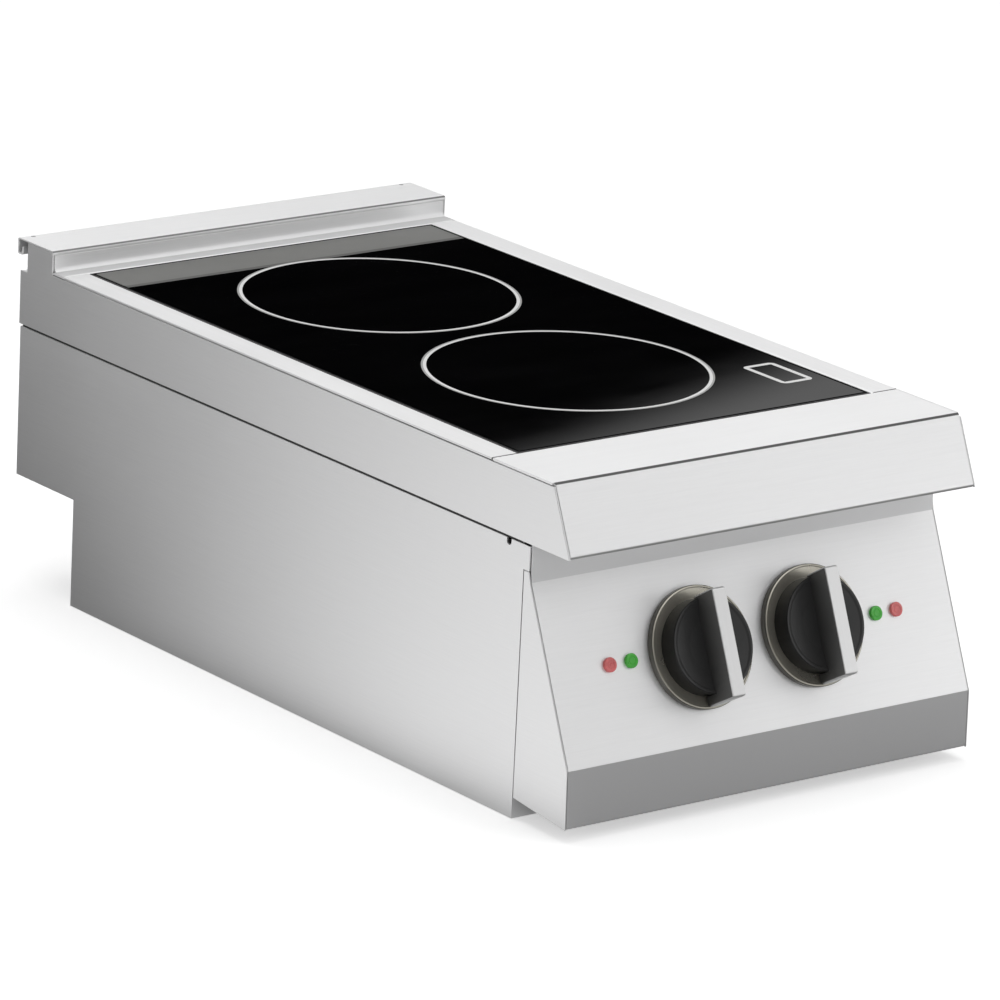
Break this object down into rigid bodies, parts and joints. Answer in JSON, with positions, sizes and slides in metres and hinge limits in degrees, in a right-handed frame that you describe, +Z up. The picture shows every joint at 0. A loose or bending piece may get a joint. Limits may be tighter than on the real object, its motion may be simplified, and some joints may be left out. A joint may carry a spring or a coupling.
{
  "type": "electric induction cooktop",
  "caption": "Counter-top induction cooking unit in stainless steel with a glass cooking surface, low rear upstand and a sloping front panel with rotary knobs.",
  "frame": {"origin": "middle of the bounding box, on the bench", "axes": "+X to the right seen from the front, +Y from the front to the back, +Z up"},
  "size_m": [0.4, 0.7842, 0.293],
  "materials": {
    "worktop_steel": "satin stainless steel, fine brushed grain",
    "body_steel": "satin stainless steel sheet",
    "panel_steel": "fine satin stainless steel sheet",
    "zinc_steel": "galvanised sheet",
    "black_glass": "polished black ceramic glass, opaque",
    "seal_rubber": "black silicone",
    "skirt_metal": "satin warm grey metal",
    "black_plastic": "matt black moulded plastic",
    "smoked_plastic": "smoked dark plastic",
    "face_metal": "fine satin aluminium",
    "shaft_steel": "turned steel",
    "switch_plastic": "moulded grey plastic",
    "red_lens": "translucent red lens",
    "green_lens": "translucent green lens",
    "circuit_board": "green circuit board with parts",
    "aluminium": "mill finish aluminium",
    "copper_litz": "lacquered copper litz wire",
    "ferrite": "dark sintered ferrite",
    "mica": "pressed mica sheet",
    "sensor_ceramic": "white ceramic",
    "terminal_plastic": "ivory moulded plastic",
    "gland_plastic": "dark grey nylon"
  },
  "bodies": {
    "unit": {"front_nosing": "worktop_steel", "worktop_rail_left": "worktop_steel", "worktop_rail_right": "worktop_steel", "worktop_rear": "worktop_steel", "upstand_cap": "worktop_steel", "cap_rivets": "zinc_steel", "side_band_left": "worktop_steel", "side_band_right": "worktop_steel", "rear_band": "worktop_steel", "exhaust_grille": "zinc_steel", "glass_ledge": "zinc_steel", "glass_seal": "seal_rubber", "glass_plate": "black_glass", "side_panel_left": "body_steel", "side_panel_right": "body_steel", "rear_panel": "body_steel", "connection_panel": "body_steel", "base_plate": "zinc_steel", "base_screws": "zinc_steel", "front_crossmember": "body_steel", "control_panel": "panel_steel", "control_cheek_left": "panel_steel", "control_cheek_right": "panel_steel", "rotary_switch_left": "switch_plastic", "rotary_switch_right": "switch_plastic", "pilot_red_left": "red_lens", "pilot_green_left": "green_lens", "pilot_green_right": "green_lens", "pilot_red_right": "red_lens", "pilot_holders": "black_plastic", "coil_winding_front": "copper_litz", "coil_winding_rear": "copper_litz", "coil_carrier_front": "aluminium", "coil_carrier_rear": "aluminium", "ferrite_bars": "ferrite", "mica_discs": "mica", "zone_sensors": "sensor_ceramic", "coil_tray": "aluminium", "power_board_left": "circuit_board", "power_board_right": "circuit_board", "heat_sink_left": "aluminium", "heat_sink_right": "aluminium", "fan_frame_left": "black_plastic", "fan_frame_right": "black_plastic", "filter_board": "circuit_board", "terminal_block": "terminal_plastic", "cable_gland": "gland_plastic"},
    "knob_left": {"knob_skirt_left": "skirt_metal", "knob_drum_left": "black_plastic", "knob_grip_left": "smoked_plastic", "knob_face_left": "face_metal", "knob_shaft_left": "shaft_steel"},
    "knob_right": {"knob_skirt_right": "skirt_metal", "knob_drum_right": "black_plastic", "knob_grip_right": "smoked_plastic", "knob_face_right": "face_metal", "knob_shaft_right": "shaft_steel"},
    "fan_left": {"fan_rotor_left": "black_plastic"},
    "fan_right": {"fan_rotor_right": "black_plastic"}
  },
  "joints": [
    {"name": "knob_left_turn", "type": "hinge", "parent": "unit", "child": "knob_left", "pos_m": [-0.0555, -0.33853, 0.12428], "axis": [0, -0.9216, 0.3881], "range_deg": [-280, 0]},
    {"name": "knob_right_turn", "type": "hinge", "parent": "unit", "child": "knob_right", "pos_m": [0.0555, -0.33853, 0.12428], "axis": [0, -0.9216, 0.3881], "range_deg": [-280, 0]},
    {"name": "fan_left_spin", "type": "hinge", "parent": "unit", "child": "fan_left", "pos_m": [-0.092, -0.22785, 0.0027], "axis": [0, 0, 1], "continuous": true},
    {"name": "fan_right_spin", "type": "hinge", "parent": "unit", "child": "fan_right", "pos_m": [0.092, -0.22785, 0.0027], "axis": [0, 0, 1], "continuous": true}
  ]
}
